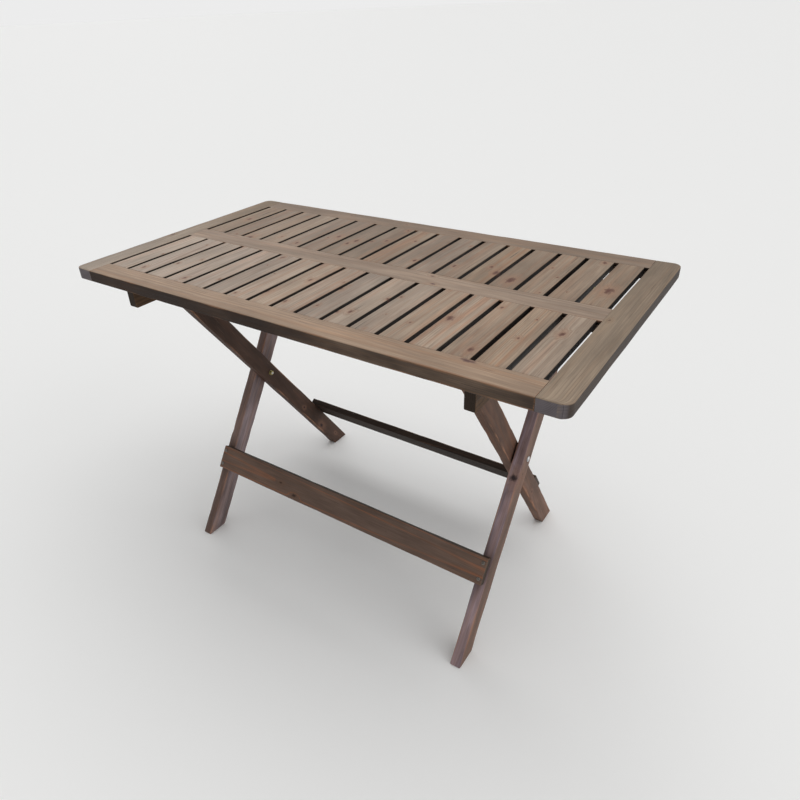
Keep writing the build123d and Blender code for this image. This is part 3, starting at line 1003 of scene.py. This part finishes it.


# Deep and Pale, Warm and Warm Pale, Line and Line Pale are the colours of faces turned from and to the light:
# painted shade and painted light, together with sun-greying.
# Deep, Pale, Warm, Warm Pale, Line, Line Pale, Knot Colour, End, Worn
# Slat Deep, Warm and Line are near black. On the slats' sides they are painted shadow in the gaps between
# slats.
SLAT_WOOD = timber("slat_wood", (
    (26, 17, 11), (156, 138, 121), (34, 22, 15), (156, 119, 95), (22, 15, 11), (128, 106, 88),
    (92, 56, 46), (60, 50, 42), (162, 141, 119),
), knots=0.22, contrast=0.45, rub=0.25, sheen=0.4)
# Rail Deep and Warm are darkened as painted shade on the faces turned from the light, the front rail's face
# among them.
RAIL_WOOD = timber("rail_wood", (
    (38, 21, 8), (157, 138, 122), (50, 28, 11), (158, 128, 106), (28, 18, 10), (128, 108, 91),
    (84, 56, 56), (60, 50, 42), (146, 104, 74),
), knots=0.08, contrast=0.5, rub=0.75, sheen=0.4)
END_WOOD = timber("end_board_wood", (
    (58, 46, 38), (141, 124, 106), (66, 50, 38), (138, 112, 88), (60, 54, 54), (114, 96, 79),
    (82, 58, 50), (108, 101, 105), (142, 120, 98),
), knots=0.04, contrast=0.5, rub=0.5, sheen=0.4)
# Bearer Pale, Warm Pale and Line Pale are darker than its Deep ones, so its upward faces, seen through the
# slat gaps, are painted dark as shade under the top. Its near-black End is painted shade on its end faces.
BEARER_WOOD = timber("bearer_wood", (
    (92, 72, 56), (44, 35, 28), (100, 76, 56), (48, 36, 28), (60, 45, 34), (30, 24, 18),
    (60, 44, 34), (25, 18, 12), (124, 98, 76),
), knots=0.10, contrast=0.5, rub=0.3)
LEG_WOOD = timber("leg_wood", (
    (114, 91, 80), (156, 139, 147), (132, 96, 78), (160, 126, 112), (64, 48, 42), (108, 90, 96),
    (34, 26, 32), (104, 90, 82), (168, 122, 94),
), pitch=4.6 * MM, start=0.5, waver=0.014, knots=0.08, contrast=0.36, rub=0.75, blotch=0.36)
STRETCHER_WOOD = timber("stretcher_wood", (
    (46, 36, 29), (104, 86, 76), (60, 44, 34), (116, 88, 71), (66, 46, 35), (160, 104, 74),
    (56, 40, 34), (70, 60, 52), (146, 110, 86),
), pitch=8 * MM, start=0.74, waver=0.0026, knots=0.03, contrast=0.75, rub=0.5, blotch=0.24)
DOWEL_WOOD = timber("dowel_wood", (
    (150, 120, 84), (168, 140, 104), (156, 122, 84), (166, 134, 96), (110, 82, 54), (124, 96, 66),
    (96, 68, 46), (140, 112, 80), (168, 138, 100),
), knots=0.0, contrast=0.5, rub=0.0, marked=False)


def lay_out_plating(net, given):
    """Zinc spangle, fine scratches and dull spots, on Object coordinates."""
    place = net.add("ShaderNodeTexCoord").outputs["Object"]
    spangle = net.add("ShaderNodeTexVoronoi", {"Vector": place, "Scale": 700.0}).outputs["Color"]
    facet = net.add("ShaderNodeSeparateColor", {0: spangle}).outputs[0]
    cloud = net.noise(place, (260.0, 260.0, 260.0), 3.0, 0.6)
    scratch = net.noise(place, (900.0, 6000.0, 900.0), 2.0, 0.5)
    dull = net.span(cloud, 0.5, 0.72)
    shade = net.mix(dull, given["Bright"], given["Dull"])
    shade = net.mix(net.span(facet, 0.0, 1.0, 0.0, 0.25), shade, given["Dull"])
    rough = net.math("ADD", net.span(dull, 0.0, 1.0, 0.26, 0.5), net.times(scratch, 0.1))
    relief = net.math("ADD", net.times(scratch, 0.5), net.times(cloud, 0.5))
    return {"Color": shade, "Roughness": rough, "Height": relief}


PLATING = node_group(
    "plating",
    {"Bright": GREY, "Dull": GREY},
    {"Color": "colour", "Roughness": "value", "Height": "value"},
    lay_out_plating,
)


def plated_steel(name, bright, dull):
    """Plated steel with spangle and dull spots."""
    material, net, shader = new_material(name)
    shades = {"Bright": colour(*bright), "Dull": colour(*dull)}
    plating = net.add("ShaderNodeGroup", shades, node_tree=PLATING)
    feed_shader(net, shader, plating, 0.4, 0.1 * MM)
    shader.inputs["Metallic"].default_value = 1.0
    return material


BRIGHT_ZINC = plated_steel("bright_zinc", (214, 214, 216), (150, 150, 152))
AGED_ZINC = plated_steel("aged_zinc", (140, 134, 128), (84, 76, 70))
YELLOW_ZINC = plated_steel("yellow_zinc", (190, 178, 122), (134, 120, 78))


# ---- the table, put together ----
TOP, OUTER, INNER = "top", "outer_frame", "inner_frame"

# A slat's main knot: its share of the way from the middle to the end and to the side, and its size in MM
SLAT_KNOTS = {
    "slat_rear_12": (-0.45, 0.5, 3.5),
    "slat_rear_13": (-0.2, 0.1, 4.0),
    "slat_rear_14": (-0.6, -0.1, 8.5),
    "slat_rear_16": (0.85, -0.4, 4.0),
    "slat_rear_17": (-0.3, -0.1, 9.0),
    "slat_front_14": (0.0, 0.5, 7.0),
    "slat_front_16": (-0.1, 0.0, 3.0),
    "slat_front_17": (0.3, 0.2, 5.0),
}
# End boards' tones from the front end to the rear: lighter and greyer at the front, the left board most, as a
# painted sheen, and darker towards the rear as a painted fall of light.
END_TONES_AND_SHEEN = {"left": ((1.22, 0.95, 0.2), (0.30, 0.3, 0.4)), "right": ((0.62, 0.5, 0.35), (0.24, 0.45, 0.35))}

for side, own in END_TONES_AND_SHEEN.items():
    fit(end_board(side, END_WOOD, own), TOP, "rail_wood", f"end_board_{side}")
# The rear rail's low lightness paints a fall of light towards the rear. The front rail's gain paints its
# faces brighter towards the right, as painted light from the side lamp.
for name, grooves, own, light_gain, knot in (
    ("front_rail", (1,), tone(0.60, 0.12, 0.5, 0.05), 0.24, ((0.75, 0.8, 1.0), (12, 5, 30))),
    ("rear_rail", (-1,), tone(0.18, 0.3, 0.4, 0.05), 0.0, None),
    ("centre_rail", (-1, 1), tone(0.50, 0.45, 0.45, 0.05), 0.0, None),
):
    fit(rail(name, RAIL_WOOD, grooves, own, light_gain, knot), TOP, "rail_wood", name)
for name in sorted(node for node in frame["nodes"] if node.startswith("slat_")):
    rightward = middle(name)[0] + 0.5
    # Front slats are given lighter and greyer towards the left as a painted sheen. Rear slats are given
    # darker as a painted fall of light towards the rear.
    if middle(name)[1] < 0:
        own = tone(0.92 - 0.38 * rightward, 0.8 - 0.4 * rightward, 0.4 + 0.2 * rightward, 0.16)
    else:
        own = tone(0.36, 0.4, 0.5, 0.2)
    knot = None
    if name in SLAT_KNOTS:
        share_along, share_across, size = SLAT_KNOTS[name]
        knot = ((share_along, share_across, 1.0), size * KNOT_SHAPE)
    fit(slat(name, SLAT_WOOD, own, knot), TOP, "slat_wood", name)
for side in ("left", "right"):
    fit(bearer(side, BEARER_WOOD), TOP, "bearer_wood", f"bearer_{side}")
# The left legs are given low lightness, the inner one below zero, as painted shade under the table. The left
# outer leg's lit side is set towards +X, so its +X face is painted lighter and its front darker, as light
# from the side lamp.
LEGS = {
    "outer_leg_left": (tone(0.34, 0.85, 0.8, 0.05), (-0.55, -1.0, 0.2), (5, 20, 4), (0, 0.22, 0.40)),
    "outer_leg_right": (tone(0.68, 0.5, 0.5, 0.05), (-0.10, 1.0, 0.25), (10, 30, 7.5), None),
    "inner_leg_left": (tone(-0.46, 0.2, 0.3, 0.04), (-0.45, 0.3, 1.0), (5, 3, 20), None),
    "inner_leg_right": (tone(0.36, 0.3, 0.5, 0.05), (-0.5, 0.3, 1.0), (5, 3, 20), None),
}
for name, (own, knot_spot, knot_radii, lit_side) in LEGS.items():
    outer = name.startswith("outer")
    up, front, top_point = (OUTER_UP, OUTER_FRONT, HINGE) if outer else (INNER_UP, INNER_FRONT, BAR)
    slope = (0.010, -0.016) if outer else (0.045, 0.020)
    knot = (knot_spot, knot_radii)
    piece = leg(name, LEG_WOOD, up, front, top_point, own, slope, knot, lit_side)
    fit(piece, OUTER if outer else INNER, "leg_wood", name)
for name, body, normal, light, pith, slope in (
    ("outer", OUTER, OUTER_FRONT, 0.8, (0.002, 0.0251), (0.006, 0.012)),
    ("inner", INNER, -INNER_FRONT, 0.45, (-0.006, 0.024), (0.004, -0.018)),
):
    node = f"{name}_stretcher"
    own = tone(light, 0.4, 0.5, 0.08)
    fit(stretcher(node, STRETCHER_WOOD, normal, own, pith, slope), body, "leg_wood", node)
    screws = f"{node}_screws"
    fit(stretcher_screws(screws, node, normal, AGED_ZINC), body, "zinc_steel", screws)
fit(cross_bar(LEG_WOOD), INNER, "leg_wood", "inner_cross_bar")
frame["nodes"]["rail_dowels"].data.materials.clear()
frame["nodes"]["rail_dowels"].data.materials.append(DOWEL_WOOD)

pivot_face = PIVOT + high("outer_leg_right") * X_AXIS
pivot_nut_face = PIVOT + high("pivot_nuts") * X_AXIS
inner_face = PIVOT + high("inner_leg_right") * X_AXIS
hinge_face = HINGE + low("outer_leg_right") * X_AXIS
leg_face = HINGE + high("outer_leg_right") * X_AXIS
bearer_face = HINGE + high("bearer_right") * X_AXIS
hinge_nut_face = bearer_face + WASHER_T * X_AXIS

HARDWARE = (
    ("pivot_bolts", OUTER, BRIGHT_ZINC, both_sides(bolt, pivot_face, *PIVOT_BOLT)),
    ("pivot_nuts", OUTER, YELLOW_ZINC, both_sides(nut, pivot_nut_face - NUT_T * X_AXIS, *NUT)),
    (
        "pivot_washers", OUTER, YELLOW_ZINC,
        both_sides(washer, pivot_nut_face, *NUT_WASHER) + both_sides(washer, inner_face, *PIVOT_SPACER),
    ),
    ("hinge_bolts", TOP, BRIGHT_ZINC, both_sides(bolt, hinge_face, *HINGE_BOLT, facing=-X_AXIS)),
    ("hinge_nuts", TOP, YELLOW_ZINC, both_sides(nut, hinge_nut_face, *NUT)),
    (
        "hinge_washers", TOP, YELLOW_ZINC,
        both_sides(washer, bearer_face, *NUT_WASHER) + both_sides(washer, leg_face, *HINGE_SPACER),
    ),
)
for node, body, material, shells in HARDWARE:
    fit(make_piece(f"{node}_steel", shells, material), body, "zinc_steel", node)

bearer_screw_shells = [
    screw(np.array((x, y, low("bearer_right")[2])), -Z_AXIS, *BEARER_SCREW)
    for x in (middle("bearer_left")[0], middle("bearer_right")[0])
    for y in (middle("front_rail")[1], 0.0, middle("rear_rail")[1])
]
bearer_screws = make_piece("bearer_screws_steel", bearer_screw_shells, BRIGHT_ZINC)
fit(bearer_screws, TOP, "zinc_steel", "bearer_screws")


# ---- floor, light and camera ----
LAMP_TARGET = (0.0, 0.0, 0.45)
# Place, spread in degrees, and power
LAMPS = {
    "overhead": ((0.3, 0.8, 3.4), 70.0, 1.12),
    "side": ((3.2, 0.6, 1.7), 50.0, 0.78),
    "sheen": ((-3.0, 1.8, 1.6), 40.0, 0.45),
}
SKY_LIGHT = 0.42
SKY_SEEN = 0.84
CAMERA_PLACE = (0.7580, -1.0180, 1.1764)
CAMERA_TURN = (58.208, 2.254, 34.488)
CAMERA_LENS = 28.863
CAMERA_SENSOR = 36.0
CAMERA_SHIFT = (0.0263, 0.0016)


def add_floor():
    """Plain pale floor: a flat sheet far wider than the table."""
    reach = 200.0
    height = -0.5 * MM
    mesh = bpy.data.meshes.new("floor")
    corners = [(x * reach, y * reach, height) for x, y in ((-1, -1), (1, -1), (1, 1), (-1, 1))]
    mesh.from_pydata(corners, [], [(0, 1, 2, 3)])
    material, _, shader = new_material("floor_paint")
    shader.inputs["Base Color"].default_value = colour(246, 246, 245)
    shader.inputs["Roughness"].default_value = 0.9
    mesh.materials.append(material)
    floor = bpy.data.objects.new("floor", mesh)
    bpy.context.scene.collection.objects.link(floor)


def aim(thing, place, target):
    """Stand a lamp at place, looking at target."""
    thing.location = place
    direction = Vector(target) - Vector(place)
    thing.rotation_euler = direction.to_track_quat("-Z", "Y").to_euler()


def add_lamp(name, place, spread, power):
    """Very soft, distant lamp that shines from place towards the table."""
    light = bpy.data.lights.new(name, "SUN")
    light.angle = np.radians(spread)
    light.energy = power
    lamp = bpy.data.objects.new(name, light)
    bpy.context.scene.collection.objects.link(lamp)
    aim(lamp, place, LAMP_TARGET)


def add_daylight():
    """Plain even light from all round."""
    world = bpy.data.worlds.new("daylight")
    bpy.context.scene.world = world
    world.use_nodes = True
    net = Net(world.node_tree)
    seen = net.add("ShaderNodeLightPath").outputs["Is Camera Ray"]
    background = world.node_tree.nodes["Background"]
    background.inputs["Color"].default_value = (1.0, 1.0, 1.0, 1.0)
    strength = net.span(seen, 0.0, 1.0, SKY_LIGHT, SKY_SEEN)
    net.tree.links.new(strength, background.inputs["Strength"])


def add_camera():
    """Camera above the front right corner, looking down at the table."""
    camera = bpy.data.cameras.new("camera")
    camera.lens = CAMERA_LENS
    camera.sensor_width = CAMERA_SENSOR
    camera.shift_x, camera.shift_y = CAMERA_SHIFT
    stand = bpy.data.objects.new("camera", camera)
    stand.location = CAMERA_PLACE
    stand.rotation_euler = np.radians(CAMERA_TURN)
    bpy.context.scene.collection.objects.link(stand)
    bpy.context.scene.camera = stand


add_floor()
add_daylight()
for name, (place, spread, power) in LAMPS.items():
    add_lamp(name, place, spread, power)
add_camera()
bpy.context.scene.view_settings.view_transform = "Standard"
